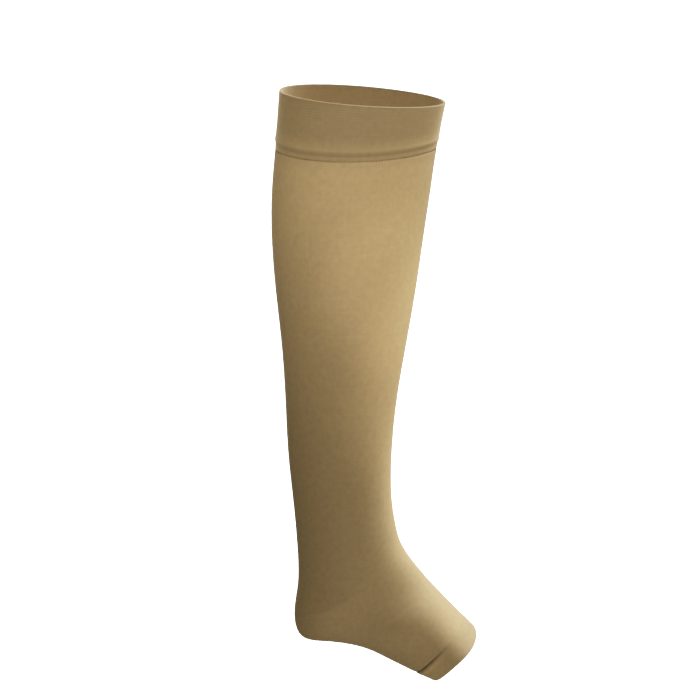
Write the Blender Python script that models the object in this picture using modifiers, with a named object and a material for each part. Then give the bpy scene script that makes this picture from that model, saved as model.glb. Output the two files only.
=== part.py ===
"""Knee-length compression stocking with an open toe, in the shape that it has when it is worn.

Metres, +Z up the leg towards the knee, +X towards the toes, the same on both sides of the plane Y = 0.
The origin is the middle of the top opening, where the wearer's leg fills the stocking and holds it up.
"""

import math
from collections import namedtuple

import bmesh
import bpy
import numpy as np

# ------------------------------------------------------------------ driving sizes, in millimetres
MM = 0.001  # one millimetre, in Blender's metres
KNIT_WALL = 1.0  # the single knit of the leg, the heel and the foot
FOLDED_WALL = 2.0  # the top band and the toe hem are two plies
FOLD_ROUNDING = 0.6  # how far a folded edge is rounded off
SEAM_GAP = 0.35  # clear space between two pieces along their seam
AROUND = 40  # points round the whole tube
LEG_RING = 13.0  # distance between two rings of the leg
HEEL_RING = 6.0  # and of the heel and the foot

# A ring of the stocking lies in a plane that is level at the knee, tips over round the heel and
# ends square to the foot. back and front are its two ends in the plane Y = 0: calf and shin on the
# leg, sole and instep on the foot. girth is the length round it, as the stocking is measured.
# egg makes the back half fuller below zero and the front half above it, full squares it off, and
# bow is how far its sides lie up the tube from its two ends.
Section = namedtuple("Section", "name back_x back_z front_x front_z girth egg full bow")
SECTIONS = (
    Section("rim", -60, 4.5, 60, -4.5, 352, -0.06, 0.00, 0),
    Section("band_seam", -63.5, -38.5, 54, -37, 352, -0.08, 0.00, -2),
    Section("calf_top", -66, -67, 50, -66, 354, -0.10, 0.00, -1),
    Section("calf", -66.5, -102, 45, -102, 348, -0.10, 0.00, 0),
    Section("calf_low", -64, -142, 39.5, -142, 323, -0.08, 0.00, 0),
    Section("mid_leg", -59.5, -188, 32, -188, 284, -0.04, 0.00, 0),
    Section("low_leg", -57, -234, 25, -234, 250, 0.00, 0.02, 0),
    Section("ankle_top", -55, -274, 22, -274, 233, 0.02, 0.02, 0),
    Section("ankle", -51.5, -310, 22.5, -306, 226, 0.04, 0.03, 0),
    Section("ankle_low", -49, -342, 25.5, -326, 231, 0.04, 0.04, 0),
    Section("heel_top", -49, -373.5, 29.5, -340, 243, 0.02, 0.05, 0),
    Section("heel_back", -51.5, -395.5, 35.5, -350.5, 260, 0.00, 0.07, 0),
    Section("heel_tip", -46.5, -412.5, 42, -359, 266, -0.02, 0.09, 0),
    Section("heel_base", -30.5, -415.5, 49, -368, 251, 0.00, 0.10, 0),
    Section("arch", -2, -419.5, 57, -377.5, 229, 0.00, 0.12, 1),
    Section("instep", 17, -428, 66.5, -388, 216, 0.02, 0.14, 2),
    Section("hem_seam", 39, -439, 76.5, -399, 209, 0.04, 0.15, 3),
    Section("toe_rim", 53.5, -445, 87.5, -411.5, 207, 0.05, 0.15, 3.4),
)

# How far the outer face stands out from the plain form, in millimetres, as share runs from 0 at
# a piece's first edge to 1 at its last.
Fold = namedtuple("Fold", "name share out")
BAND_FOLDS = (
    Fold("rim fold", 0.00, 0.0),
    Fold("rim fold end", 0.05, 0.3),
    Fold("plain band", 0.22, 0.3),
    Fold("plain band", 0.40, 0.3),
    Fold("plain band", 0.58, 0.3),
    Fold("swell above the crease", 0.72, 0.4),
    Fold("top of the swell", 0.81, 0.7),
    Fold("crease", 0.88, 0.1),
    Fold("seam strip", 0.95, 0.1),
    Fold("seam", 1.00, -0.1),
)
HEM_FOLDS = (
    Fold("seam", 0.00, -0.3),
    Fold("ridge beside the seam", 0.15, 0.5),
    Fold("plain hem", 0.50, 0.3),
    Fold("rim fold start", 0.85, 0.2),
    Fold("rim fold", 1.00, 0.0),
)
BAND_SEAM_DIP = 0.3  # how far the band seam draws the leg in
HEM_SEAM_DIP = 0.6  # and the toe hem's seam the foot
SEAM_DIP_LENGTH = 7.0  # over what length the cloth rises out of such a dip

# The heel pocket is knitted to and fro on the back half of the needles. It starts and ends in a
# point on each side, level with the middle of the tube, and turns back on itself in its middle.
POCKET_MIDDLE = "heel_back"
POCKET_ABOVE = 19.0  # its reach up the back of the heel, measured along the tube's middle
POCKET_BELOW = 20.0  # and along the sole
POCKET_HALF_TURN = math.pi / 2

SKIN_TAN = (0.479, 0.342, 0.168, 1.0)  # the knit, a warm sand colour
BAND_TAN = (0.323, 0.223, 0.107, 1.0)  # two plies look deeper
HEM_TAN = (0.462, 0.319, 0.147, 1.0)


# ------------------------------------------------------------------ the worn form
def natural_spline(knots, values):
    """A smooth curve through these values, as a function of the place along the knots."""
    knots, values = np.array(knots, float), np.array(values, float)
    gaps = np.diff(knots)
    slopes = np.diff(values) / gaps
    system, right = np.eye(len(knots)), np.zeros(len(knots))
    for i in range(1, len(knots) - 1):
        system[i, i - 1 : i + 2] = gaps[i - 1], 2 * (gaps[i - 1] + gaps[i]), gaps[i]
        right[i] = 6 * (slopes[i] - slopes[i - 1])
    bends = np.linalg.solve(system, right)

    def curve(along):
        i = int(np.clip(np.searchsorted(knots, along) - 1, 0, len(gaps) - 1))
        gap, before, after = gaps[i], knots[i + 1] - along, along - knots[i]
        cubic = (bends[i] * before**3 + bends[i + 1] * after**3) / (6 * gap)
        line_start = (values[i] / gap - bends[i] * gap / 6) * before
        line_end = (values[i + 1] / gap - bends[i + 1] * gap / 6) * after
        return cubic + line_start + line_end

    return curve


def outline_point(depth, half_width, egg, full, turn):
    """A point of a ring in its own plane: (forward from its back end, to the side)."""
    ahead = math.cos(turn)
    fullness = 1 + egg * ahead + full * ahead**2
    return np.array((depth * (1 + ahead) / 2, half_width * math.sin(turn) * fullness))


def half_width_of(section):
    """The half width that gives a section its girth, found by halving an interval."""
    depth = math.dist((section.back_x, section.back_z), (section.front_x, section.front_z))
    low, high = 0.0, section.girth / 2
    while high - low > 0.01:
        middle = (low + high) / 2
        turns = np.linspace(0, 2 * math.pi, 121)
        ring = [outline_point(depth, middle, section.egg, section.full, turn) for turn in turns]
        girth = sum(math.dist(a, b) for a, b in zip(ring, ring[1:]))
        low, high = (middle, high) if girth < section.girth else (low, middle)
    return high


def places_along():
    """How far down the tube's middle line each section lies, by its name."""
    middles = [((s.back_x + s.front_x) / 2, (s.back_z + s.front_z) / 2) for s in SECTIONS]
    steps = [math.dist(a, b) for a, b in zip(middles, middles[1:])]
    return dict(zip([s.name for s in SECTIONS], np.cumsum([0.0] + steps)))


PLACE = places_along()
CURVES = {
    column: natural_spline(list(PLACE.values()), [getattr(s, column) for s in SECTIONS])
    for column in ("back_x", "back_z", "front_x", "front_z", "egg", "full", "bow")
}
HALF_WIDTH = natural_spline(list(PLACE.values()), [half_width_of(s) for s in SECTIONS])


def form_point(along, turn, out=0.0):
    """A point of the worn form, in millimetres. turn is 0 at the shin and the instep, and half a
    turn at the calf and the sole. out moves it away from the form, in the plane of its ring."""
    size = {column: curve(along) for column, curve in CURVES.items()}
    back = np.array((size["back_x"], 0.0, size["back_z"]))
    span = np.array((size["front_x"], 0.0, size["front_z"])) - back
    depth = np.linalg.norm(span)
    shape = (depth, HALF_WIDTH(along), size["egg"], size["full"])
    step = 0.01
    tangent = outline_point(*shape, turn + step) - outline_point(*shape, turn - step)
    outward = np.array((tangent[1], -tangent[0])) / np.linalg.norm(tangent)
    forward, side = outline_point(*shape, turn) + out * outward
    up_the_tube = np.array((-span[2], 0.0, span[0])) / depth
    bow = size["bow"] * math.sin(turn) ** 2
    return back + span * forward / depth + up_the_tube * bow + np.array((0.0, side, 0.0))


def between(first, last, share):
    return first + (last - first) * share


def out_at(folds, share):
    return float(np.interp(share, [fold.share for fold in folds], [fold.out for fold in folds]))


def seam_dip(depth, distance):
    """How far a seam draws the cloth in at this distance from it."""
    return -depth * max(0.0, 1 - distance / SEAM_DIP_LENGTH) ** 2


# ------------------------------------------------------------------ the pieces' edges along the tube
def pocket_share(turn):
    """How much of its reach the heel pocket has here: all of it at the back, none at its points."""
    return max(0.0, -math.cos(turn))


def pocket_top(turn):
    return PLACE[POCKET_MIDDLE] - POCKET_ABOVE * pocket_share(turn)


def pocket_bottom(turn):
    return PLACE[POCKET_MIDDLE] + POCKET_BELOW * pocket_share(turn)


def gap_along(along, turn):
    """Half of the seam gap, as a distance along the tube's middle. Round the heel the rings open
    out like a fan, so the same gap on the cloth is a smaller step there."""
    stretch = np.linalg.norm(form_point(along + 0.5, turn) - form_point(along - 0.5, turn))
    return SEAM_GAP / 2 / max(stretch, 0.5)


def band_point(share, turn):
    seam = PLACE["band_seam"]
    along = between(PLACE["rim"], seam - gap_along(seam, turn), share)
    return form_point(along, turn, out_at(BAND_FOLDS, share))


def leg_point(share, turn):
    seam, last = PLACE["band_seam"], pocket_top(turn)
    along = between(seam + gap_along(seam, turn), last - gap_along(last, turn), share)
    return form_point(along, turn, seam_dip(BAND_SEAM_DIP, along - seam))


def heel_point(share, turn):
    first, last = pocket_top(turn), pocket_bottom(turn)
    first, last = first + gap_along(first, turn), last - gap_along(last, turn)
    return form_point(between(first, last, share), turn)


def foot_point(share, turn):
    first, seam = pocket_bottom(turn), PLACE["hem_seam"]
    along = between(first + gap_along(first, turn), seam - gap_along(seam, turn), share)
    return form_point(along, turn, seam_dip(HEM_SEAM_DIP, seam - along))


def hem_point(share, turn):
    seam = PLACE["hem_seam"]
    along = between(seam + gap_along(seam, turn), PLACE["toe_rim"], share)
    return form_point(along, turn, out_at(HEM_FOLDS, share))


# ------------------------------------------------------------------ cloth
def knit_material(name, colour, roughness):
    material = bpy.data.materials.new(name)
    material.use_nodes = True
    material.diffuse_color = colour
    shader = material.node_tree.nodes["Principled BSDF"]
    shader.inputs["Base Color"].default_value = colour
    shader.inputs["Roughness"].default_value = roughness
    shader.inputs["Metallic"].default_value = 0.0
    return material


def even_shares(length, spacing):
    return np.linspace(0, 1, max(2, round(length / spacing)) + 1)


def cloth(name, point, shares, turns, wall, material):
    """A piece of knit: a flat grid that is laid on the form, joined where it meets itself, and
    given its wall on the inside. point(share, turn) is where each of its corners goes."""
    grid = bmesh.new()
    columns, rows = len(turns) - 1, len(shares) - 1
    bmesh.ops.create_grid(grid, x_segments=columns, y_segments=rows, size=0.5)
    for corner in grid.verts:
        column, row = round((corner.co.x + 0.5) * columns), round((corner.co.y + 0.5) * rows)
        corner.co = point(shares[row], turns[column]) * MM
    bmesh.ops.remove_doubles(grid, verts=grid.verts, dist=0.01 * MM)
    bmesh.ops.reverse_faces(grid, faces=grid.faces)
    mesh = bpy.data.meshes.new(name)
    grid.to_mesh(mesh)
    grid.free()
    mesh.materials.append(material)
    mesh.shade_smooth()
    piece = bpy.data.objects.new(name, mesh)
    stocking.objects.link(piece)
    solidify = piece.modifiers.new("wall", "SOLIDIFY")
    solidify.thickness = wall * MM
    solidify.offset = -1
    solidify.use_even_offset = True
    return piece


def round_folded_edges(piece):
    bevel = piece.modifiers.new("folded edges", "BEVEL")
    bevel.limit_method = "ANGLE"
    bevel.angle_limit = math.radians(60)
    bevel.width = FOLD_ROUNDING * MM
    bevel.segments = 2


# ------------------------------------------------------------------ the stocking
for old in list(bpy.data.objects):
    bpy.data.objects.remove(old)
stocking = bpy.data.collections.new("compression_stocking")
bpy.context.scene.collection.children.link(stocking)

band_knit = knit_material("two-ply band knit", BAND_TAN, 0.8)
leg_knit = knit_material("fine leg knit", SKIN_TAN, 0.75)
hem_knit = knit_material("two-ply hem knit", HEM_TAN, 0.8)

whole_turn = np.linspace(0, 2 * math.pi, AROUND + 1)
back_half = np.linspace(math.pi - POCKET_HALF_TURN, math.pi + POCKET_HALF_TURN, AROUND // 2 + 1)
leg_length = PLACE[POCKET_MIDDLE] - PLACE["band_seam"]
heel_length = 2 * (POCKET_ABOVE + POCKET_BELOW)
foot_length = PLACE["hem_seam"] - PLACE[POCKET_MIDDLE]

top_band = cloth(
    "top_band", band_point, [fold.share for fold in BAND_FOLDS], whole_turn, FOLDED_WALL, band_knit
)
round_folded_edges(top_band)
cloth("leg", leg_point, even_shares(leg_length, LEG_RING), whole_turn, KNIT_WALL, leg_knit)
cloth("heel_pocket", heel_point, even_shares(heel_length, HEEL_RING), back_half, KNIT_WALL, leg_knit)
cloth("foot", foot_point, even_shares(foot_length, HEEL_RING), whole_turn, KNIT_WALL, leg_knit)
toe_hem = cloth(
    "toe_hem", hem_point, [fold.share for fold in HEM_FOLDS], whole_turn, FOLDED_WALL, hem_knit
)
round_folded_edges(toe_hem)
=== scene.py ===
# %% [markdown]
# # A knee-length compression stocking with an open toe
# A round knitting machine makes the leg, the heel pocket and the foot of this stocking as one tube. A
# two-ply band is sewn to the top of the tube, and its toe end is turned in and sewn down. The packed
# solids fix the size and the place of every piece, so they are loaded first. Each piece of cloth is then
# made again on the same form, finely enough to carry its folds, its seams and its knit. The solids' box
# is kept, to compare the finished stocking with it.

# %% Load the fixed frame
import math
from collections import namedtuple

import bmesh
import bpy
import numpy as np
from mathutils import Matrix, Vector
from mathutils.bvhtree import BVHTree


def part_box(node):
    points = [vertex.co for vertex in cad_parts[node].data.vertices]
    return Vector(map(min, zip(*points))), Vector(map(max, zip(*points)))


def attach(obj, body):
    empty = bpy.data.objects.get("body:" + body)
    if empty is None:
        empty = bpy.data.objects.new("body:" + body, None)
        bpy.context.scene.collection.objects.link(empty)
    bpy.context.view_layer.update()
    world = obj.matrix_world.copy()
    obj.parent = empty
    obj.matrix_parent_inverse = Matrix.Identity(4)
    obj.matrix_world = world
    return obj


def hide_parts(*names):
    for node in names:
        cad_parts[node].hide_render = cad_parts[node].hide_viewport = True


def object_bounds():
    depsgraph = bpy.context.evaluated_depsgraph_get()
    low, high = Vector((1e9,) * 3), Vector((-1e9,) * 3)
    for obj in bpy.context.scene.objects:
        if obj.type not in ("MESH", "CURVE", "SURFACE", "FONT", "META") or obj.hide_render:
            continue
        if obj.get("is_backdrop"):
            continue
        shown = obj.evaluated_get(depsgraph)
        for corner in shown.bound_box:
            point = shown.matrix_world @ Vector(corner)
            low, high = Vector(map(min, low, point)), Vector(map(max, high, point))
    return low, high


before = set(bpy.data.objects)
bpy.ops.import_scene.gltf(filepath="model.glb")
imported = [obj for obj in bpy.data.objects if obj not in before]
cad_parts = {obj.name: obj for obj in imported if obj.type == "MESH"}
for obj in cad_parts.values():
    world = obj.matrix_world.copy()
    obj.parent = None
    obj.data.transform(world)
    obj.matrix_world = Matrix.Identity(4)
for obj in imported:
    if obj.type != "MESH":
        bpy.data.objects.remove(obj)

MM = 0.001  # one millimetre, in Blender's metres
cad_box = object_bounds()
for name in sorted(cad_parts):
    low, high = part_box(name)
    print(name, "reaches from", [round(v / MM) for v in low], "to", [round(v / MM) for v in high], "mm")

# %% [markdown]
# ## The worn form
# A stocking has no shape of its own: it takes the shape of the leg that it is pulled over. A pattern
# maker notes that shape as a row of rings, each with its place and its girth. The same notes are kept
# here. A sculpted surface could look as good, but rings keep every girth true. Each ring lies in a plane
# that is level at the knee, tips over round the heel and ends square to the foot, and back and front are
# its two ends in the middle plane, in millimetres. egg makes the back half fuller below zero and the
# front half above it, full squares the ring off, and bow is how far its sides lie up the tube.

# %% The rings of the form
Section = namedtuple("Section", "name back_x back_z front_x front_z girth egg full bow")
SECTIONS = (
    Section("rim", -60, 4.5, 60, -4.5, 352, -0.06, 0.00, 0),
    Section("band_seam", -63.5, -38.5, 54, -37, 352, -0.08, 0.00, -2),
    Section("calf_top", -66, -67, 50, -66, 354, -0.10, 0.00, -1),
    Section("calf", -66.5, -102, 45, -102, 348, -0.10, 0.00, 0),
    Section("calf_low", -64, -142, 39.5, -142, 323, -0.08, 0.00, 0),
    Section("mid_leg", -59.5, -188, 32, -188, 284, -0.04, 0.00, 0),
    Section("low_leg", -57, -234, 25, -234, 250, 0.00, 0.02, 0),
    Section("ankle_top", -55, -274, 22, -274, 233, 0.02, 0.02, 0),
    Section("ankle", -51.5, -310, 22.5, -306, 226, 0.04, 0.03, 0),
    Section("ankle_low", -49, -342, 25.5, -326, 231, 0.04, 0.04, 0),
    Section("heel_top", -49, -373.5, 29.5, -340, 243, 0.02, 0.05, 0),
    Section("heel_back", -51.5, -395.5, 35.5, -350.5, 260, 0.00, 0.07, 0),
    Section("heel_tip", -46.5, -412.5, 42, -359, 266, -0.02, 0.09, 0),
    Section("heel_base", -30.5, -415.5, 49, -368, 251, 0.00, 0.10, 0),
    Section("arch", -2, -419.5, 57, -377.5, 229, 0.00, 0.12, 1),
    Section("instep", 17, -428, 66.5, -388, 216, 0.02, 0.14, 2),
    Section("hem_seam", 39, -439, 76.5, -399, 209, 0.04, 0.15, 3),
    Section("toe_rim", 53.5, -445, 87.5, -411.5, 207, 0.05, 0.15, 3.4),
)
GIRTH = {s.name: s.girth for s in SECTIONS}
print(len(SECTIONS), "rings, from", min(GIRTH.values()), "to", max(GIRTH.values()), "mm round")

# %% [markdown]
# ### A smooth skin through the rings
# Knit under tension bends as evenly as a thin spring. A natural spline is the curve of such a spring, so
# one runs down the tube through each column of the table. The girth fixes the half width of a ring: it is
# found by halving an interval until the outline is as long as it should be.

# %% A spring through a row of values
def natural_spline(knots, values):
    """A smooth curve through these values, as a function of the places along the knots."""
    knots, values = np.array(knots, float), np.array(values, float)
    gaps = np.diff(knots)
    slopes = np.diff(values) / gaps
    system, right = np.eye(len(knots)), np.zeros(len(knots))
    for i in range(1, len(knots) - 1):
        system[i, i - 1 : i + 2] = gaps[i - 1], 2 * (gaps[i - 1] + gaps[i]), gaps[i]
        right[i] = 6 * (slopes[i] - slopes[i - 1])
    bends = np.linalg.solve(system, right)

    def curve(along):
        i = np.clip(np.searchsorted(knots, along) - 1, 0, len(gaps) - 1)
        gap, before, after = gaps[i], knots[i + 1] - along, along - knots[i]
        cubic = (bends[i] * before**3 + bends[i + 1] * after**3) / (6 * gap)
        from_start = (values[i] / gap - bends[i] * gap / 6) * before
        return cubic + from_start + (values[i + 1] / gap - bends[i + 1] * gap / 6) * after

    return curve


# %% The outline of a ring
GIRTH_SIDES = 120  # a girth is measured round a polygon with this many sides
GIRTH_ERROR = 0.01  # how exactly the half width is found, in millimetres


def ring_outline(depth, half_width, egg, full, turn):
    """Points of a ring in its own plane: how far they lie in front of its back end, and to the side."""
    ahead = np.cos(turn)
    fullness = 1 + egg * ahead + full * ahead**2
    return depth * (1 + ahead) / 2, half_width * np.sin(turn) * fullness


def half_width_of(section):
    """The half width that gives a section its girth."""
    depth = math.dist((section.back_x, section.back_z), (section.front_x, section.front_z))
    turns = np.linspace(0, 2 * math.pi, GIRTH_SIDES + 1)
    low, high = 0.0, section.girth / 2
    while high - low > GIRTH_ERROR:
        middle = (low + high) / 2
        forward, side = ring_outline(depth, middle, section.egg, section.full, turns)
        girth = np.hypot(np.diff(forward), np.diff(side)).sum()
        low, high = (middle, high) if girth < section.girth else (low, middle)
    return high


# %% The form as a function
middles = [((s.back_x + s.front_x) / 2, (s.back_z + s.front_z) / 2) for s in SECTIONS]
steps = [math.dist(a, b) for a, b in zip(middles, middles[1:])]
PLACE = dict(zip([s.name for s in SECTIONS], np.cumsum([0.0] + steps)))
KNOTS = list(PLACE.values())
CURVES = {
    column: natural_spline(KNOTS, [getattr(s, column) for s in SECTIONS])
    for column in ("back_x", "back_z", "front_x", "front_z", "egg", "full", "bow")
}
CURVES["half_width"] = natural_spline(KNOTS, [half_width_of(s) for s in SECTIONS])
TURN_STEP = 0.01  # a short way round a ring, in radians


def form(along, turn, out=0.0):
    """Points of the worn form, in millimetres. along is the distance down the tube's middle line. turn is 0
    at the shin and the instep and half a turn at the calf and the sole. out moves a point off the form."""
    size = {column: curve(along) for column, curve in CURVES.items()}
    span_x, span_z = size["front_x"] - size["back_x"], size["front_z"] - size["back_z"]
    depth = np.hypot(span_x, span_z)
    shape = depth, size["half_width"], size["egg"], size["full"]
    after, before = ring_outline(*shape, turn + TURN_STEP), ring_outline(*shape, turn - TURN_STEP)
    tangent = after[0] - before[0], after[1] - before[1]
    forward, side = ring_outline(*shape, turn)
    forward = forward + out * tangent[1] / np.hypot(*tangent)
    side = side - out * tangent[0] / np.hypot(*tangent)
    bow = size["bow"] * np.sin(turn) ** 2
    x = size["back_x"] + (span_x * forward - span_z * bow) / depth
    z = size["back_z"] + (span_z * forward + span_x * bow) / depth
    return np.stack((x, side, z), axis=-1)


print("the tube is", round(PLACE["toe_rim"]), "mm long down its middle line")

# %% [markdown]
# ## From a flat grid to a knitted tube
# A knit is a grid already: wales run down the tube and courses run round it. So each stretch of cloth
# starts as a flat grid, its corners are moved onto the form, and its two long edges are joined where they
# meet. The grid's map counts stitches, not millimetres: the number of wales stays the same from the calf
# to the toes, as it does on the machine, and so the wales draw together at the ankle by themselves. The
# real stitch is about 0.6 mm high and 0.8 mm wide, finer than a render of the whole stocking can show, so
# the stitches here are drawn about twice that height.

# %% Lay a grid on the form
AROUND = 160  # faces round the tube
WALES = 288  # stitches round the tube
COURSE = 1.4  # height of a drawn stitch, in millimetres
MERGE = 0.00001  # corners this near are the same corner


def new_cloth():
    cloth = bmesh.new()
    cloth.loops.layers.uv.new("knit")
    # the yarn's painted light and shade, and a little plain tone, at each corner
    cloth.verts.layers.float.new("lie")
    return cloth


def lay_grid(cloth, points, wales, courses, lie):
    """Adds a flat grid to the cloth and lays it on these points, in millimetres and as rows of one length.
    wales and courses count the stitches to each point, and the last grid is the painted light and shade,
    and plain tone, of each point."""
    rows, columns = points.shape[0] - 1, points.shape[1] - 1
    corners = bmesh.ops.create_grid(cloth, x_segments=columns, y_segments=rows, size=0.5)["verts"]
    stitches, painted_light_layer = cloth.loops.layers.uv["knit"], cloth.verts.layers.float["lie"]
    place = {}
    for corner in corners:
        place[corner] = round((corner.co.y + 0.5) * rows), round((corner.co.x + 0.5) * columns)
        corner.co = points[place[corner]] * MM
        corner[painted_light_layer] = lie[place[corner]]
    for face in {face for corner in corners for face in corner.link_faces}:
        for loop in face.loops:
            loop[stitches].uv = wales[place[loop.vert]], courses[place[loop.vert]]


def finish_cloth(name, cloth):
    """Joins the cloth where its edges meet, turns its right side out and makes it an object."""
    bmesh.ops.remove_doubles(cloth, verts=cloth.verts, dist=MERGE)
    bmesh.ops.reverse_faces(cloth, faces=cloth.faces)
    mesh = bpy.data.meshes.new(name)
    cloth.to_mesh(mesh)
    cloth.free()
    mesh.shade_smooth()
    piece = bpy.data.objects.new(name, mesh)
    bpy.context.scene.collection.objects.link(piece)
    print(name, "has", len(mesh.polygons), "faces")
    return piece


# %% [markdown]
# ### Where the seams and the heel pocket lie
# The band seam and the toe hem's seam draw the knit in, and it rises again within a few millimetres. The
# heel pocket is knitted to and fro on half of the needles: it starts in a point on each side, widens
# towards the back and turns back on itself at the gore line. That line shows as a faint furrow on each
# side of the heel, which is lost towards the back. The wales meet there at an angle; the cloth above it
# is painted darker and that below it lighter, as painted shade and painted light. The furrow is a dip in
# the mesh, which keeps its shade from every side, and painted shade deepens it. Such painted tone is far
# too fine for a mesh, so each corner of the grid carries it as a number, and the yarn's tone follows it.

# %% The pull of a seam and the gore line
POCKET_MIDDLE = "heel_back"
GORE_DIP, GORE_REACH = 0.2, 1.4  # depth and half width of the furrow, in millimetres
GORE_FRONT, GORE_BACK = -0.05, 0.8  # it shows between these, as minus the cosine of the turn
GORE_FRONT_FADE, GORE_BACK_FADE = 0.2, 0.35
GORE_SIDES_PAINTED_LIGHT, FURROW_PAINTED_SHADE = 0.8, -0.4  # painted light below the line, and painted shade in the furrow
GORE_PAINTED_LIGHT_REACH = 14.0  # how far from the gore line the painted light and shade still show


def ease(share):
    """0 up to a share of 0, 1 from a share of 1, and a soft start and end between them."""
    share = np.clip(share, 0, 1)
    return share * share * (3 - 2 * share)


def near(place, line, reach):
    """1 on a line, and fading away over this reach on both sides of it."""
    return np.exp(-(((place - line) / reach) ** 2))


def seam_dip(distance, depth, reach):
    """How far out the knit lies at this distance from a seam: below zero, it is drawn in."""
    return -depth * np.clip(1 - distance / reach, 0, 1) ** 2


def gore_fade(turn):
    """1 where the gore line shows, and 0 in front of the pocket's points and towards the back."""
    behind = -np.cos(turn)
    return ease((behind - GORE_FRONT) / GORE_FRONT_FADE) * ease((GORE_BACK - behind) / GORE_BACK_FADE)


def gore_dip(along, turn):
    return -GORE_DIP * near(along, PLACE[POCKET_MIDDLE], GORE_REACH) * gore_fade(turn)


def gore_painted_light_and_shade(along, turn):
    """Painted light and shade at the gore line: below zero (painted shade) above it and in the furrow,
    above zero (painted light) below it.
    """
    off_line = along - PLACE[POCKET_MIDDLE]
    sides = np.tanh(off_line / GORE_REACH) * np.exp(-np.abs(off_line) / GORE_PAINTED_LIGHT_REACH)
    return (GORE_SIDES_PAINTED_LIGHT * sides + FURROW_PAINTED_SHADE * near(off_line, 0, GORE_REACH)) * gore_fade(turn)


# %% [markdown]
# ### Rows where they are needed
# The rows of a grid are set close together only beside a seam and at the gore line, and plain knit has
# few. One more row lies right at each edge, so that the smooth shading of the outer face doesn't bend
# over it.

# %% Rows down a stretch of knit
ROW = 2.2  # distance between two rows of plain knit
FINE_ROW = 0.5  # and beside a seam or the gore line
FINE_STRETCH = 6.0  # how far the fine rows reach from such a line
LAST_ROW = 0.06  # how far from the edge the extra row lies
HALF_STEP = 0.5  # half a millimetre down the tube


def rows_between(length):
    """Shares from 0 to 1 down a stretch of this length, closer together near both ends."""
    fine, plain = round(FINE_STRETCH / FINE_ROW), round((length - 2 * FINE_STRETCH) / ROW)
    start = np.linspace(LAST_ROW, FINE_STRETCH, fine)
    middle = np.linspace(FINE_STRETCH, length - FINE_STRETCH, plain + 1)
    return np.concatenate([[0.0], start, middle[1:-1], length - start[::-1], [length]]) / length


def cloth_length(along, turn):
    """How many millimetres of cloth lie over one millimetre of the tube's middle line here."""
    return np.linalg.norm(form(along + HALF_STEP, turn) - form(along - HALF_STEP, turn), axis=-1)


def half_gap(along, turn, gap):
    """Half of a gap on the cloth, as a distance along the tube's middle line."""
    return gap / 2 / np.maximum(cloth_length(along, turn), 0.5)  # 0.5 keeps the gap short in a sharp bend


# %% [markdown]
# ### How hard the two seams pull
# The band seam draws the leg in evenly all round. The toe hem's seam pulls hard over the sole and hardly
# at all over the instep, so one function says how much it pulls, and the dip, the crease and the slit all
# follow it.

# %% The seams' pull on the knit
SEAM_GAP = 0.35  # the slit between two sewn pieces, in millimetres
FLUSH_GAP = 0.04  # and where the toe hem's seam doesn't pull
BAND_SEAM_DIP, BAND_SEAM_REACH = 0.35, 3.0  # how far the band seam draws the leg in, and over what length
BAND_SEAM_TONE, BAND_SEAM_TONE_REACH = -0.8, 6.0  # the leg is a little darker just below it, fading over this length
HEM_SEAM_DIP, HEM_SEAM_REACH = 0.5, 1.8  # how far the toe hem's seam draws the foot in at the sole
CREASE_PAINTED_SHADE, CREASE_REACH = -4.5, 0.7  # painted shade inside the crease, and how far it reaches
PULL_START, PULL_FADE = 0.6, 1.1  # the hem's seam pulls where the cosine of the turn is below the first


def hem_pull(turn):
    """How hard the toe hem's seam pulls: 1 at the sole, fading to 0 on each side of the foot."""
    return ease((PULL_START - np.cos(turn)) / PULL_FADE)


# painted shade in the crease at the toe hem's seam, as strong as the seam pulls
def crease_painted_shade(distance, turn):
    return CREASE_PAINTED_SHADE * near(distance, 0, CREASE_REACH) * hem_pull(turn)


def hem_gap(turn):
    return FLUSH_GAP + (SEAM_GAP - FLUSH_GAP) * hem_pull(turn)


# %% [markdown]
# ## The leg, the heel pocket and the foot
# These three are knitted in one go, so they are one piece here too, with no seam and one surface. Three
# grids are laid: the leg down to the pocket's upper edge, the pocket on the back half, and the foot from
# the pocket's lower edge. Their edges fall on the same points and are merged. In the pocket the courses
# are counted from both edges towards the gore line, as the machine knits them, so the pattern is whole
# everywhere else. Solidify then gives the single knit its wall of one millimetre, on the inside.

# %% Measure the edges of the three grids
POCKET_ABOVE = 19.0  # the pocket's reach up the back of the heel, along the tube's middle line
POCKET_BELOW = 20.0  # and along the sole

whole_turn = np.linspace(0, 2 * math.pi, AROUND + 1)
back_half = whole_turn[AROUND // 4 : 3 * AROUND // 4 + 1]
gore = PLACE[POCKET_MIDDLE]
knit = new_cloth()
print("the gore line lies", round(gore), "mm down the middle line")

# %% Knit the leg
first = PLACE["band_seam"] + half_gap(PLACE["band_seam"], whole_turn, SEAM_GAP)
last = gore - POCKET_ABOVE * np.maximum(0, -np.cos(whole_turn))
share, turn = np.meshgrid(rows_between(gore - PLACE["band_seam"]), whole_turn, indexing="ij")
along = first + (last - first) * share
below_seam = along - PLACE["band_seam"]
out = seam_dip(below_seam, BAND_SEAM_DIP, BAND_SEAM_REACH) + gore_dip(along, turn)
# painted light and shade at the gore line, and a darker tone just below the band seam
lie = gore_painted_light_and_shade(along, turn) + BAND_SEAM_TONE * near(below_seam, 0, BAND_SEAM_TONE_REACH)
wales = turn / (2 * math.pi) * WALES
lay_grid(knit, form(along, turn, out), wales, along / COURSE, lie)
print("the leg has", len(share), "rows")

# %% Knit the heel pocket
POCKET_ROWS = 44
CROWDING = 1.6  # how much closer together the rows lie at the gore line

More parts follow.
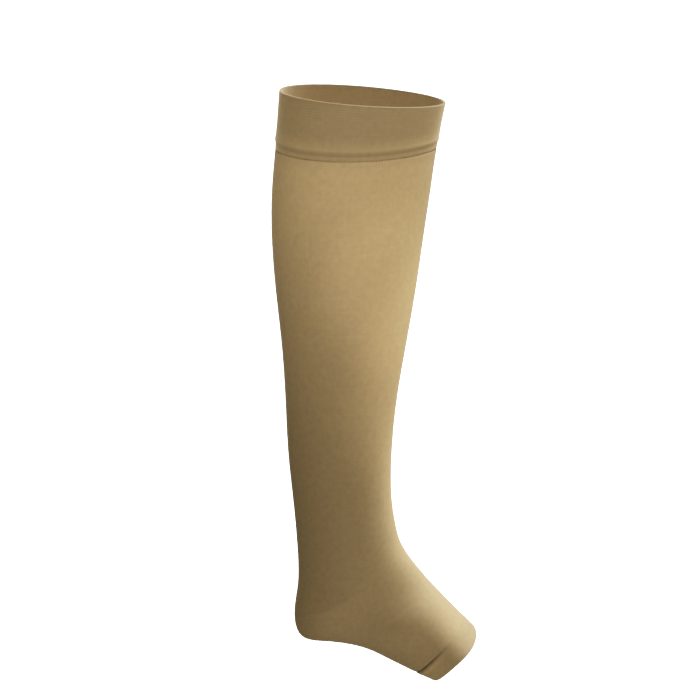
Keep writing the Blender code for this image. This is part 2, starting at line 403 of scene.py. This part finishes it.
behind = np.maximum(0, -np.cos(back_half))
even = np.linspace(-1, 1, POCKET_ROWS + 1)
share, turn = np.meshgrid((1 + np.sign(even) * np.abs(even) ** CROWDING) / 2, back_half, indexing="ij")
top, bottom = gore - POCKET_ABOVE * behind, gore + POCKET_BELOW * behind
along = top + (bottom - top) * share
stretch = cloth_length(gore, back_half)
from_top, from_bottom = (along - top) * stretch, (bottom - along) * stretch
courses = np.where(along < gore, top + from_top, bottom - from_bottom) / COURSE
wales = turn / (2 * math.pi) * WALES
lay_grid(knit, form(along, turn, gore_dip(along, turn)), wales, courses, gore_painted_light_and_shade(along, turn))
print("the pocket is", round(float((stretch * (bottom - top)).max())), "mm deep at the back")

# %% Knit the foot
first = gore + POCKET_BELOW * np.maximum(0, -np.cos(whole_turn))
last = PLACE["hem_seam"] - half_gap(PLACE["hem_seam"], whole_turn, hem_gap(whole_turn))
share, turn = np.meshgrid(rows_between(PLACE["hem_seam"] - gore), whole_turn, indexing="ij")
along = first + (last - first) * share
to_seam = PLACE["hem_seam"] - along
out = seam_dip(to_seam, HEM_SEAM_DIP * hem_pull(turn), HEM_SEAM_REACH) + gore_dip(along, turn)
wales = turn / (2 * math.pi) * WALES
# painted light and shade at the gore line, and painted shade in the hem seam's crease
lie = gore_painted_light_and_shade(along, turn) + crease_painted_shade(to_seam, turn)
lay_grid(knit, form(along, turn, out), wales, along / COURSE, lie)
print("the foot has", len(share), "rows")

# %% Join them and give the knit its wall
KNIT_WALL = 1.0

leg_cloth = finish_cloth("leg_heel_foot_knit", knit)
wall = leg_cloth.modifiers.new("wall", "SOLIDIFY")
wall.thickness = KNIT_WALL * MM
wall.offset = -1
wall.use_even_offset = True

# %% [markdown]
# ## Folded cloth: the top band and the toe hem
# Both are two plies with a round fold at the free edge. One profile goes right round such a wall: down
# the outer face, across the sewn edge, up the inner face and over the fold. A grid is laid on the form
# with that profile down it, and its first and last rows meet, so it closes into a ring with no edge to
# seal. The outer face is read from a short table: how far down a mark is, how high the cloth stands
# there, and how much lighter or darker its yarn is painted there, mostly as painted light and shade. The
# corners between the marks are rounded off over a millimetre or so, as cloth does.

# %% A profile round a folded wall
Mark = namedtuple("Mark", "down out lie")
CORNER_SAMPLES = 9  # readings that are averaged to round off a corner
FOLD = 0.9  # how far down from the edge the round of the fold reaches
FOLD_STEPS = 9
PLAIN_STEP, FINE_STEP, INNER_STEP = 1.6, 0.4, 2.5  # distances between rows


def read_marks(marks, column, down, softness):
    """One column of the marks, at these places, with its corners rounded off over this length."""
    places, values = [mark.down for mark in marks], [getattr(mark, column) for mark in marks]
    shifts = np.linspace(-softness / 2, softness / 2, CORNER_SAMPLES)
    return np.mean([np.interp(down + shift, places, values) for shift in shifts], axis=0)


def folded_profile(length, fine_from):
    """Places down a folded wall and shares of its thickness, from the fold, down the outer face at share 0,
    across the sewn edge, up the inner face at share 1 and back over the fold. It ends where it started."""
    fine_to = length - FINE_STEP
    places = [
        np.arange(FOLD, fine_from, PLAIN_STEP),
        np.arange(fine_from, fine_to, FINE_STEP),
        [fine_to, length - LAST_ROW, length],
    ]
    outer = np.concatenate(places)
    inner = np.linspace(length, FOLD, round(length / INNER_STEP))
    arc = np.linspace(0, math.pi, FOLD_STEPS + 1)
    down = np.concatenate([outer, [length], inner, FOLD - FOLD * np.sin(arc)[1:]])
    depth = np.concatenate([outer * 0, [0.5], inner * 0 + 1, (1 + np.cos(arc)[1:]) / 2])
    return down, depth


# %% A ring of folded cloth
def folded_ring(name, start, down, outer, depth, thickness, turns, lie, flip):
    """A closed ring of two-ply cloth. It begins at start on the tube, and flip runs it back up the tube."""
    cloth = new_cloth()
    rows, turn = np.meshgrid(np.arange(len(down)), turns, indexing="ij")
    along = start + (-1 if flip else 1) * down[rows]
    points = form(along, turn, outer - thickness * depth[rows])
    run = np.concatenate([[0.0], np.cumsum(np.linalg.norm(np.diff(points[:, 0], axis=0), axis=-1))])
    lay_grid(cloth, points, turn / (2 * math.pi) * WALES, run[rows] / COURSE, lie)
    return finish_cloth(name, cloth)


# %% [markdown]
# ### The top band
# The band keeps the stocking up, so it is firm and two plies thick, 38 mm deep. Its lower edge is turned
# under: just above the turn the cloth swells and is painted lighter, as painted light, then it drops into
# a crease with painted shade, and a narrow strip, painted lighter, runs down to the seam, which has
# painted shade. The fold at the rim has a little painted shade.

# %% Make the top band
BAND_WALL = 2.0
# the third column: painted shade at the rim's fold, in the crease and at the seam, painted light on the
# swell, and a lighter strip
BAND_MARKS = (
    Mark(0.0, 0.25, -1.5),
    Mark(1.6, 0.25, -0.3),
    Mark(3.0, 0.25, 0.0),
    Mark(22.0, 0.25, 0.0),
    Mark(28.0, 0.45, 1.2),
    Mark(30.4, 0.75, 1.8),
    Mark(31.4, 0.75, 1.4),
    Mark(33.6, 0.05, -1.0),
    Mark(34.4, 0.05, -1.0),
    Mark(35.2, 0.10, 1.0),
    Mark(36.8, 0.10, 1.0),
    Mark(38.2, -0.30, -0.6),
)
BAND_SOFTNESS = 1.2
BAND_AROUND = 240  # faces round the band
BAND_FINE_FROM = 24.0  # fine rows from here down

band_turns = np.linspace(0, 2 * math.pi, BAND_AROUND + 1)
band_length = PLACE["band_seam"] - SEAM_GAP / 2
down, depth = folded_profile(band_length, BAND_FINE_FROM)
outer, lie = [
    np.outer(read_marks(BAND_MARKS, column, down, BAND_SOFTNESS), np.ones(BAND_AROUND + 1))
    for column in ("out", "lie")
]
band_cloth = folded_ring(
    "top_band_knit", PLACE["rim"], down, outer, depth, BAND_WALL, band_turns, lie, flip=False
)

# %% [markdown]
# ### The toe hem
# The toe end is turned in and sewn. Over the sole the seam pulls hard and leaves a narrow, deep crease
# with a small ridge on its toe side; the ridge has painted light and the crease painted shade. Towards the
# instep the seam pulls less and less, and the hem lies flush with the foot. The two tables are added, the
# second one as much as the seam pulls.

# %% Make the toe hem
HEM_WALL = 1.8
# the third column: the two plies a little darker, and darker still at the fold
HEM_FLUSH = (
    Mark(0.0, 0.30, -1.8),
    Mark(1.5, 0.30, -1.0),
    Mark(9.0, 0.25, -1.0),
    Mark(15.6, 0.0, -0.4),
)
# the third column: painted light on the ridge and painted shade in the crease
HEM_PULLED = (
    Mark(9.5, 0.0, 2.2),
    Mark(12.2, 0.30, 3.2),
    Mark(13.4, 0.30, 3.2),
    Mark(14.4, 0.05, 0.0),
    Mark(15.5, -0.50, -4.5),
)
HEM_SOFTNESS = 0.7
HEM_AROUND = 200
HEM_FINE_FROM = 8.0

hem_turns = np.linspace(0, 2 * math.pi, HEM_AROUND + 1)
hem_reach = PLACE["toe_rim"] - PLACE["hem_seam"]
hem_length = (hem_reach - half_gap(PLACE["hem_seam"], hem_turns, hem_gap(hem_turns))).min()
down, depth = folded_profile(hem_length, HEM_FINE_FROM)
outer, lie = [
    read_marks(HEM_FLUSH, column, down, HEM_SOFTNESS)[:, None]
    + np.outer(read_marks(HEM_PULLED, column, down, HEM_SOFTNESS), hem_pull(hem_turns))
    for column in ("out", "lie")
]
hem_cloth = folded_ring(
    "toe_hem_knit", PLACE["toe_rim"], down, outer, depth, HEM_WALL, hem_turns, lie, flip=True
)

# %% [markdown]
# ## The stitches of the band seam
# A row of short thread stitches holds the band's turned edge down on the leg. They could be a texture,
# but they stand proud and their shadows draw the seam, so each is a small bead of thread, longer than it
# is wide, that crosses the slit. One mesh holds them all.

# %% Sew the band seam
STITCH_PITCH = 2.0
STITCH_LENGTH = 1.5
THREAD = 0.42  # its thickness, in millimetres
STITCH_SLANT = math.radians(12)
STITCH_DOWN, STITCH_OUT = 0.1, -0.25  # where a bead's middle lies: below the seam, and sunk into the cloth
BEAD_SIDES = 6  # too small to need more


def surface_frame(along, turn, out):
    """Where a stitch sits, and its directions round the tube, down it and out of it, as a matrix."""
    after, before = form(along, turn + TURN_STEP, out), form(along, turn - TURN_STEP, out)
    below, above = form(along + HALF_STEP, turn, out), form(along - HALF_STEP, turn, out)
    round_it, down_it = Vector(after - before).normalized(), Vector(below - above).normalized()
    out_of_it = round_it.cross(down_it).normalized()
    down_it = out_of_it.cross(round_it)
    basis = Matrix((round_it, down_it, out_of_it)).transposed().to_4x4()
    return Matrix.Translation(Vector(form(along, turn, out)) * MM) @ basis


def sew(name, along, out, girth):
    """A row of stitches round the tube at this place, in one mesh."""
    beads = bmesh.new()
    count = round(girth / STITCH_PITCH)
    size = Matrix.Diagonal((THREAD * MM, STITCH_LENGTH * MM, THREAD * MM, 1))
    slant = Matrix.Rotation(STITCH_SLANT, 4, "Z")
    for i in range(count):
        seat = surface_frame(along, 2 * math.pi * i / count, out) @ slant @ size
        bmesh.ops.create_uvsphere(
            beads, u_segments=BEAD_SIDES, v_segments=BEAD_SIDES, radius=0.5, matrix=seat
        )
    bmesh.ops.recalc_face_normals(beads, faces=beads.faces)
    mesh = bpy.data.meshes.new(name)
    beads.to_mesh(mesh)
    beads.free()
    mesh.shade_smooth()
    piece = bpy.data.objects.new(name, mesh)
    bpy.context.scene.collection.objects.link(piece)
    print(name, "has", count, "stitches")
    return piece


stitch_line = PLACE["band_seam"] + STITCH_DOWN
band_stitches = sew("band_seam_stitches", stitch_line, STITCH_OUT, GIRTH["band_seam"])

# %% [markdown]
# ## Colours
# A colour is noted as the sRGB value that a dye card would show, and the shader works with linear light,
# so one function turns the one into the other. The yarn is dyed one warm sand. Two plies let no light
# through, so the band looks deeper than the leg. A lookup of named colours would be shorter, but these
# shades have no names.

# %% One function for colours, one for nodes
def linear(hex_colour):
    """An sRGB colour such as #b89c6c as linear light with full opacity."""
    shares = [int(hex_colour[i : i + 2], 16) / 255 for i in (1, 3, 5)]
    return [c / 12.92 if c <= 0.04045 else ((c + 0.055) / 1.055) ** 2.4 for c in shares] + [1.0]


def add_node(tree, kind, settings=(), links=()):
    """Adds a node. settings gives its properties and its unlinked inputs, links what feeds the others."""
    node = tree.nodes.new(kind)
    for name, value in dict(settings).items():
        if isinstance(name, int) or name in node.inputs:
            node.inputs[name].default_value = value
        else:
            setattr(node, name, value)
    for name, output in dict(links).items():
        tree.links.new(output, node.inputs[name])
    return node


# %% [markdown]
# ## The knit
# Nylon and elastane yarn, knitted plain: each stitch is a small V, a wale is a column of them, and
# between the wales lies a narrow valley. The map counts stitches, so the V comes from the distance to the
# middle of the wale, added to the course. An image of knit would repeat, and it would stretch at the
# heel.

# %% The height of a stitch
LOOP_LEAN = 0.9  # how much the legs of a V lean, in courses over half a wale
VALLEY_WIDTH, VALLEY_FLOOR = 0.18, 0.35  # half its width in wales, and how high the stitch still is in it


def stitch_pattern(tree):
    """How high the stitches stand, from 0 to 1, and the course that each point lies in."""
    stitch_map = add_node(tree, "ShaderNodeUVMap", {"uv_map": "knit"})
    count = add_node(tree, "ShaderNodeSeparateXYZ", links={0: stitch_map.outputs["UV"]})
    wale, course = count.outputs["X"], count.outputs["Y"]
    to_edge = add_node(tree, "ShaderNodeMath", {"operation": "PINGPONG", 1: 0.5}, {0: wale})
    lean = {"operation": "MULTIPLY_ADD", 1: LOOP_LEAN}
    v_shape = add_node(tree, "ShaderNodeMath", lean, {0: to_edge.outputs[0], 2: course})
    to_next = add_node(tree, "ShaderNodeMath", {"operation": "PINGPONG", 1: 0.5}, {0: v_shape.outputs[0]})
    rounded = {"interpolation_type": "SMOOTHSTEP", "From Max": 0.5}
    loop = add_node(tree, "ShaderNodeMapRange", rounded, {"Value": to_next.outputs[0]})
    narrow = {"interpolation_type": "SMOOTHSTEP", "From Max": VALLEY_WIDTH, "To Min": VALLEY_FLOOR}
    valley = add_node(tree, "ShaderNodeMapRange", narrow, {"Value": to_edge.outputs[0]})
    both = {0: loop.outputs[0], 1: valley.outputs[0]}
    return add_node(tree, "ShaderNodeMath", {"operation": "MULTIPLY"}, both).outputs[0], course


# %% [markdown]
# ### The tone of the yarn
# No yarn is quite even: some courses are a shade deeper than their neighbours, some wales catch more
# light, and the whole cloth has a fine grain. Each of these moves the tone of the yarn a little. Painted
# shade darkens the valleys between the stitches, and painted light and shade lie at the seams, the folds
# and the gore line.

# %% Uneven yarn
VALLEY_PAINTED_SHADE = 0.08  # painted shade: how much darker the valleys between the stitches are
COURSE_TONE = 0.04  # how far the tone of a course may differ
WALE_TONE = 0.08
GRAIN_TONE = 0.26
# how far the painted light and shade, and the plain tones, move the yarn's tone
PAINTED_LIGHT_AND_TONE_SCALE = 0.12
PLAIN_TONE = 1 - (VALLEY_PAINTED_SHADE + COURSE_TONE + WALE_TONE + GRAIN_TONE) / 2
COURSES_SCALE = 0.6  # a change of tone every one or two courses
STREAKS = (800, 800, 10)  # streaks about 1 mm wide that run down for about 100 mm
GRAIN_SCALE = 260.0  # spots of about 4 mm and finer, coarser than the real grain, so that they show


def yarn_tone(tree, stitch, course):
    """The tone of the yarn, around 1."""
    place = add_node(tree, "ShaderNodeTexCoord").outputs["Object"]
    streaks = add_node(tree, "ShaderNodeMapping", {"Scale": STREAKS}, {"Vector": place}).outputs[0]
    by_course = {"noise_dimensions": "1D", "Scale": COURSES_SCALE}
    courses = add_node(tree, "ShaderNodeTexNoise", by_course, {"W": course})
    wales = add_node(tree, "ShaderNodeTexNoise", {"Scale": 1.0}, {"Vector": streaks})
    grain = add_node(tree, "ShaderNodeTexNoise", {"Scale": GRAIN_SCALE, "Detail": 4.0}, {"Vector": place})
    # the painted light and shade, and plain tone, that each corner of the grid carries
    lie = add_node(tree, "ShaderNodeAttribute", {"attribute_name": "lie"})
    # painted shade in the valleys between the stitches
    plain = {"operation": "MULTIPLY_ADD", 1: VALLEY_PAINTED_SHADE, 2: PLAIN_TONE}
    tone = add_node(tree, "ShaderNodeMath", plain, {0: stitch}).outputs[0]
    uneven = (
        (COURSE_TONE, courses.outputs[0]),
        (WALE_TONE, wales.outputs[0]),
        (GRAIN_TONE, grain.outputs[0]),
        (PAINTED_LIGHT_AND_TONE_SCALE, lie.outputs["Fac"]),
    )
    for share, noise in uneven:
        add_on = {"operation": "MULTIPLY_ADD", 1: share}
        tone = add_node(tree, "ShaderNodeMath", add_on, {0: noise, 2: tone}).outputs[0]
    return tone


# %% [markdown]
# ### The finish of the knit
# The loops stand up like fur, so the cloth is matt and looks flat, nearly as light at its sides as in its
# middle: a high diffuse roughness does that. Loose filaments add a faint warm sheen.

# %% A knit material
NYLON_IOR = 1.53
GLOSS = 0.2  # the loops shade one another, which dulls the gloss
ROUGHNESS, VALLEY_ROUGHER = 0.66, 0.1
SHEEN_ROUGHNESS = 0.4


def knit_material(name, colour, matt, sheen, relief):
    """matt is how flat the loops make the cloth look, and relief is the height of a stitch, in mm."""
    material = bpy.data.materials.new(name)
    material.use_nodes = True
    material.diffuse_color = linear(colour)
    tree = material.node_tree
    shader = tree.nodes["Principled BSDF"]
    shader.inputs["Diffuse Roughness"].default_value = matt
    shader.inputs["IOR"].default_value = NYLON_IOR
    shader.inputs["Specular IOR Level"].default_value = GLOSS
    shader.inputs["Sheen Weight"].default_value = sheen
    shader.inputs["Sheen Roughness"].default_value = SHEEN_ROUGHNESS
    shader.inputs["Sheen Tint"].default_value = linear("#ecd3a2")

    stitch, course = stitch_pattern(tree)
    tone = yarn_tone(tree, stitch, course)
    yarn = add_node(tree, "ShaderNodeHueSaturation", {"Color": linear(colour)}, {"Value": tone})
    tree.links.new(yarn.outputs[0], shader.inputs["Base Color"])
    duller = {"To Min": ROUGHNESS + VALLEY_ROUGHER, "To Max": ROUGHNESS}
    dull = add_node(tree, "ShaderNodeMapRange", duller, {"Value": stitch})
    tree.links.new(dull.outputs[0], shader.inputs["Roughness"])
    height = {"Strength": 1.0, "Distance": relief * MM}
    raised = add_node(tree, "ShaderNodeBump", height, {"Height": stitch})
    tree.links.new(raised.outputs[0], shader.inputs["Normal"])
    print(name, "has", len(tree.nodes), "nodes")
    return material


leg_knit = knit_material(
    "fine nylon and elastane knit", "#bc9f6e", matt=0.4, sheen=0.06, relief=0.035
)
band_knit = knit_material(
    "two-ply nylon and elastane band knit", "#9b8259", matt=0.6, sheen=0.5, relief=0.03
)
hem_knit = knit_material(
    "two-ply turned hem of the fine knit", "#bc9f6e", matt=0.4, sheen=0.06, relief=0.035
)

# %% [markdown]
# ### The sewing thread
# Spun polyester thread, a shade darker than the band and rougher than the knit, with a twist that shows
# as fine light and dark lines.

# %% A thread material
POLYESTER_IOR = 1.57
TWIST_SCALE = 900.0  # lines about a third of a millimetre apart

thread = bpy.data.materials.new("spun polyester sewing thread")
thread.use_nodes = True
tree = thread.node_tree
thread_shader = tree.nodes["Principled BSDF"]
thread_shader.inputs["IOR"].default_value = POLYESTER_IOR
thread_place = add_node(tree, "ShaderNodeTexCoord").outputs["Object"]
lines = {"Scale": TWIST_SCALE, "Distortion": 1.5}
twist = add_node(tree, "ShaderNodeTexWave", lines, {"Vector": thread_place})
shades = {"To Min": 0.8, "To Max": 1.05}
thread_tone = add_node(tree, "ShaderNodeMapRange", shades, {"Value": twist.outputs["Fac"]})
dye = {"Color": linear("#6a5638")}
thread_colour = add_node(tree, "ShaderNodeHueSaturation", dye, {"Value": thread_tone.outputs[0]})
tree.links.new(thread_colour.outputs[0], thread_shader.inputs["Base Color"])
thread_shader.inputs["Roughness"].default_value = 0.8

# %% [markdown]
# ## Attach each piece and give it its material
# Every piece rides on the one body and takes its material, and the imported solids that a piece of cloth
# stands for are hidden. Each piece of cloth also prints the flat size it was cut to. Compression knit is
# made about 1.4 times narrower than the leg, so the flat tube is that much narrower than the worn one, and
# the pieces are held stretched.

# %% Attach the pieces and give them their materials
Cut = namedtuple("Cut", "piece material slot nodes flat area")
CUTS = (
    Cut(leg_cloth, leg_knit, "leg_knit", ("leg", "heel_pocket", "foot"), (0.253, 0.420), 0.0800),
    Cut(band_cloth, band_knit, "band_knit", ("top_band",), (0.252, 0.038), None),
    Cut(hem_cloth, hem_knit, "hem_knit", ("toe_hem",), (0.155, 0.016), None),
)
for cut in CUTS:
    cut.piece.data.materials.append(cut.material)
    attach(cut.piece, "root")
    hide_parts(*cut.nodes)
    print(cut.piece.name, "lies flat as", [round(v / MM) for v in cut.flat], "mm")

band_stitches.data.materials.append(thread)
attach(band_stitches, "root")

# %% [markdown]
# ### Measure the new cloth against the solids
# The new cloth should keep the part's size, so the distance from every fifth point of the new cloth to the
# nearest imported solid is measured. It should stay within the height of the folds.

# %% Distance from the imported solids
EVERY = 5  # one point in five is enough


def search_tree(mesh):
    return BVHTree.FromPolygons([v.co for v in mesh.vertices], [p.vertices for p in mesh.polygons])


for cut in CUTS:
    solids = [search_tree(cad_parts[name].data) for name in cut.nodes]
    points = [vertex.co for vertex in list(cut.piece.data.vertices)[::EVERY]]
    far = max(min(solid.find_nearest(point)[3] for solid in solids) for point in points)
    print(cut.piece.name, "lies within", round(far / MM, 2), "mm of its solids")

# %% [markdown]
# ## The studio
# The stocking is worn, so it hangs above a plain pale floor. The floor is an opal panel that is lit from
# below, so it stays white and no shadow falls on it. It is shown to the camera only: the lamps alone set
# the tones of the cloth, and so it is easy to see what each of them does.

# %% Lay the floor
FLOOR_DROP = 0.25  # how far the floor lies under the toes, in metres
FLOOR_SIZE = 14.0
PANEL_LIGHT = 1.7

floor_mesh = bmesh.new()
drop = Matrix.Translation((0, 0, cad_box[0].z - FLOOR_DROP))
bmesh.ops.create_grid(floor_mesh, x_segments=8, y_segments=8, size=FLOOR_SIZE, matrix=drop)
floor_data = bpy.data.meshes.new("floor")
floor_mesh.to_mesh(floor_data)
floor_mesh.free()
floor = bpy.data.objects.new("floor", floor_data)
bpy.context.scene.collection.objects.link(floor)
floor.visible_diffuse = False
floor.visible_glossy = False
floor.visible_shadow = False
panel = bpy.data.materials.new("opal acrylic, lit from below")
panel.use_nodes = True
panel_shader = panel.node_tree.nodes["Principled BSDF"]
panel_shader.inputs["Base Color"].default_value = linear("#f5f5f5")
panel_shader.inputs["Roughness"].default_value = 0.9
panel_shader.inputs["Emission Color"].default_value = linear("#ffffff")
panel_shader.inputs["Emission Strength"].default_value = PANEL_LIGHT
floor_data.materials.append(panel)
floor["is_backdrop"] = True
print("the floor lies", round(-drop.translation.z, 2), "m below the knee")

# %% [markdown]
# ### The lamps
# A weak even dome gives the shade its depth, and a wide fill stands in front. The key light is soft and
# high, behind on the shin's side: it draws a bright rim down the shin and lights the instep. Four spots
# stand nearer. One lights the calf and fades out above the ankle, two have a crisp edge that runs down
# the leg, so that the shin's half is the brighter one, and one shines up at the toe. A last lamp lights
# the back, for a look from behind. All are nearly white: the key is a little cooler, as daylight is, and
# the dome a little warmer, as light from pale walls is.


# %% A lamp and its direction
def towards(azimuth, elevation):
    """The direction from the stocking to a lamp. Azimuth 0 is in front of its side, 90 is on the shin's."""
    a, e = math.radians(azimuth), math.radians(elevation)
    return Vector((math.cos(e) * math.sin(a), -math.cos(e) * math.cos(a), math.sin(e)))


def hang_lamp(name, kind, direction, place, strength, colour):
    data = bpy.data.lights.new(name, kind)
    data.energy = strength
    data.color = colour
    lamp = bpy.data.objects.new(name, data)
    lamp.rotation_euler = direction.to_track_quat("Z", "Y").to_euler()
    lamp.location = place
    bpy.context.scene.collection.objects.link(lamp)
    return data


# %% Hang the lamps
SUN_DISTANCE, SPOT_DISTANCE = 3.0, 1.6
Sun = namedtuple("Sun", "name azimuth elevation width strength colour")
SUNS = (
    Sun("key", 130, 50, 40, 7.23, (0.93, 1.02, 1.16)),
    Sun("fill", 30, 10, 90, 0.93, (1, 1, 1)),
    Sun("from behind", 200, 25, 15, 1.0, (1, 1, 1)),
)
Spot = namedtuple("Spot", "name azimuth elevation aim_x aim_z radius blend size power colour")
SPOTS = (
    Spot("calf", 0, 30, 0.0, -0.06, 0.12, 1.0, 0.12, 132.0, (1, 1, 1)),
    Spot("shin's half of the calf", 0, 20, 0.034, -0.15, 0.06, 0.1, 0.02, 23.6, (1, 1, 1.08)),
    Spot("shin's half of the leg", 25, 30, 0.08, -0.21, 0.10, 0.3, 0.02, 38.9, (1, 1, 1.05)),
    Spot("toe", 60, -40, 0.08, -0.44, 0.06, 1.0, 0.05, 56.0, (1, 1, 1)),
)

for sun in SUNS:
    direction = towards(sun.azimuth, sun.elevation)
    light = hang_lamp(sun.name, "SUN", direction, SUN_DISTANCE * direction, sun.strength, sun.colour)
    light.angle = math.radians(sun.width)
for spot in SPOTS:
    direction = towards(spot.azimuth, spot.elevation)
    place = Vector((spot.aim_x, 0, spot.aim_z)) + SPOT_DISTANCE * direction
    light = hang_lamp(spot.name, "SPOT", direction, place, spot.power, spot.colour)
    light.spot_size = 2 * math.atan(spot.radius / SPOT_DISTANCE)
    light.spot_blend = spot.blend
    light.shadow_soft_size = spot.size
print(len(SUNS), "wide lamps and", len(SPOTS), "spots")

# %% The dome, and white behind the stocking
DOME, DOME_COLOUR = 0.169, (1.035, 0.99, 0.86, 1)

world = bpy.data.worlds.new("studio")
bpy.context.scene.world = world
world.use_nodes = True
sky = world.node_tree
sky.nodes.clear()
dome = add_node(sky, "ShaderNodeBackground", {"Strength": DOME, "Color": DOME_COLOUR})
white = add_node(sky, "ShaderNodeBackground", {"Strength": PANEL_LIGHT, "Color": (1, 1, 1, 1)})
rays = add_node(sky, "ShaderNodeLightPath")
by_ray = {0: rays.outputs["Is Camera Ray"], 1: dome.outputs[0], 2: white.outputs[0]}
seen = add_node(sky, "ShaderNodeMixShader", links=by_ray)
add_node(sky, "ShaderNodeOutputWorld", links={"Surface": seen.outputs[0]})

# %% [markdown]
# ### The tones of the render
# A camera doesn't let bright places burn out: it holds them back more and more, and as it does so channel
# by channel, they turn paler too. That is why sunlit sand-coloured cloth looks cream. The plain view
# transform cuts the light off at white instead, so a curve with such a soft shoulder goes before it. It
# leaves the dark half of the tones alone, and the panel and the backdrop are bright enough to stay white.

# %% Bend the tone curve
SHOULDER, BEND = 1.0, 2.5  # the light that is held back to, and how sharply the curve bends
TONE_STEPS = 10

view = bpy.context.scene.view_settings
view.view_transform = "Standard"
view.use_curve_mapping = True
view.curve_mapping.extend = "EXTRAPOLATED"
tones = view.curve_mapping.curves[3]  # the one for all three colours
for step in range(1, TONE_STEPS + 1):
    light = step / TONE_STEPS
    shown = light / (1 + (light / SHOULDER) ** BEND) ** (1 / BEND)
    if step < TONE_STEPS:
        tones.points.new(light, shown)
    else:
        tones.points[-1].location = light, shown
view.curve_mapping.update()
print("a light of 1 is shown as", round(shown, 2))

# %% [markdown]
# ## The camera
# It looks square onto the stocking's side from a little above, far enough off to keep the leg's
# proportions.

# %% Set the camera
CAMERA_DISTANCE = 1.8
CAMERA_ELEVATION = 14
CAMERA_AIM = Vector((-0.0091, 0.0, -0.1894))
VIEW_WIDTH = 0.5187  # how wide the view is at the stocking, in metres

lens = bpy.data.cameras.new("camera")
lens.angle = 2 * math.atan(VIEW_WIDTH / 2 / CAMERA_DISTANCE)
camera = bpy.data.objects.new("camera", lens)
camera.location = CAMERA_AIM + CAMERA_DISTANCE * towards(0, CAMERA_ELEVATION)
camera.rotation_euler = (math.radians(90 - CAMERA_ELEVATION), 0, 0)
bpy.context.scene.collection.objects.link(camera)
bpy.context.scene.camera = camera
print("the lens is", round(lens.lens), "mm long")

# %% [markdown]
# ## Close the lesson
# The finished stocking's box is compared with the solids' box at its high corner.

# %% Compare the sizes and finish
visual_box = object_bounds()
growth = [round((v - c) / MM, 1) for c, v in zip(cad_box[1], visual_box[1])]
print("the box grew by", growth, "mm at its high corner")
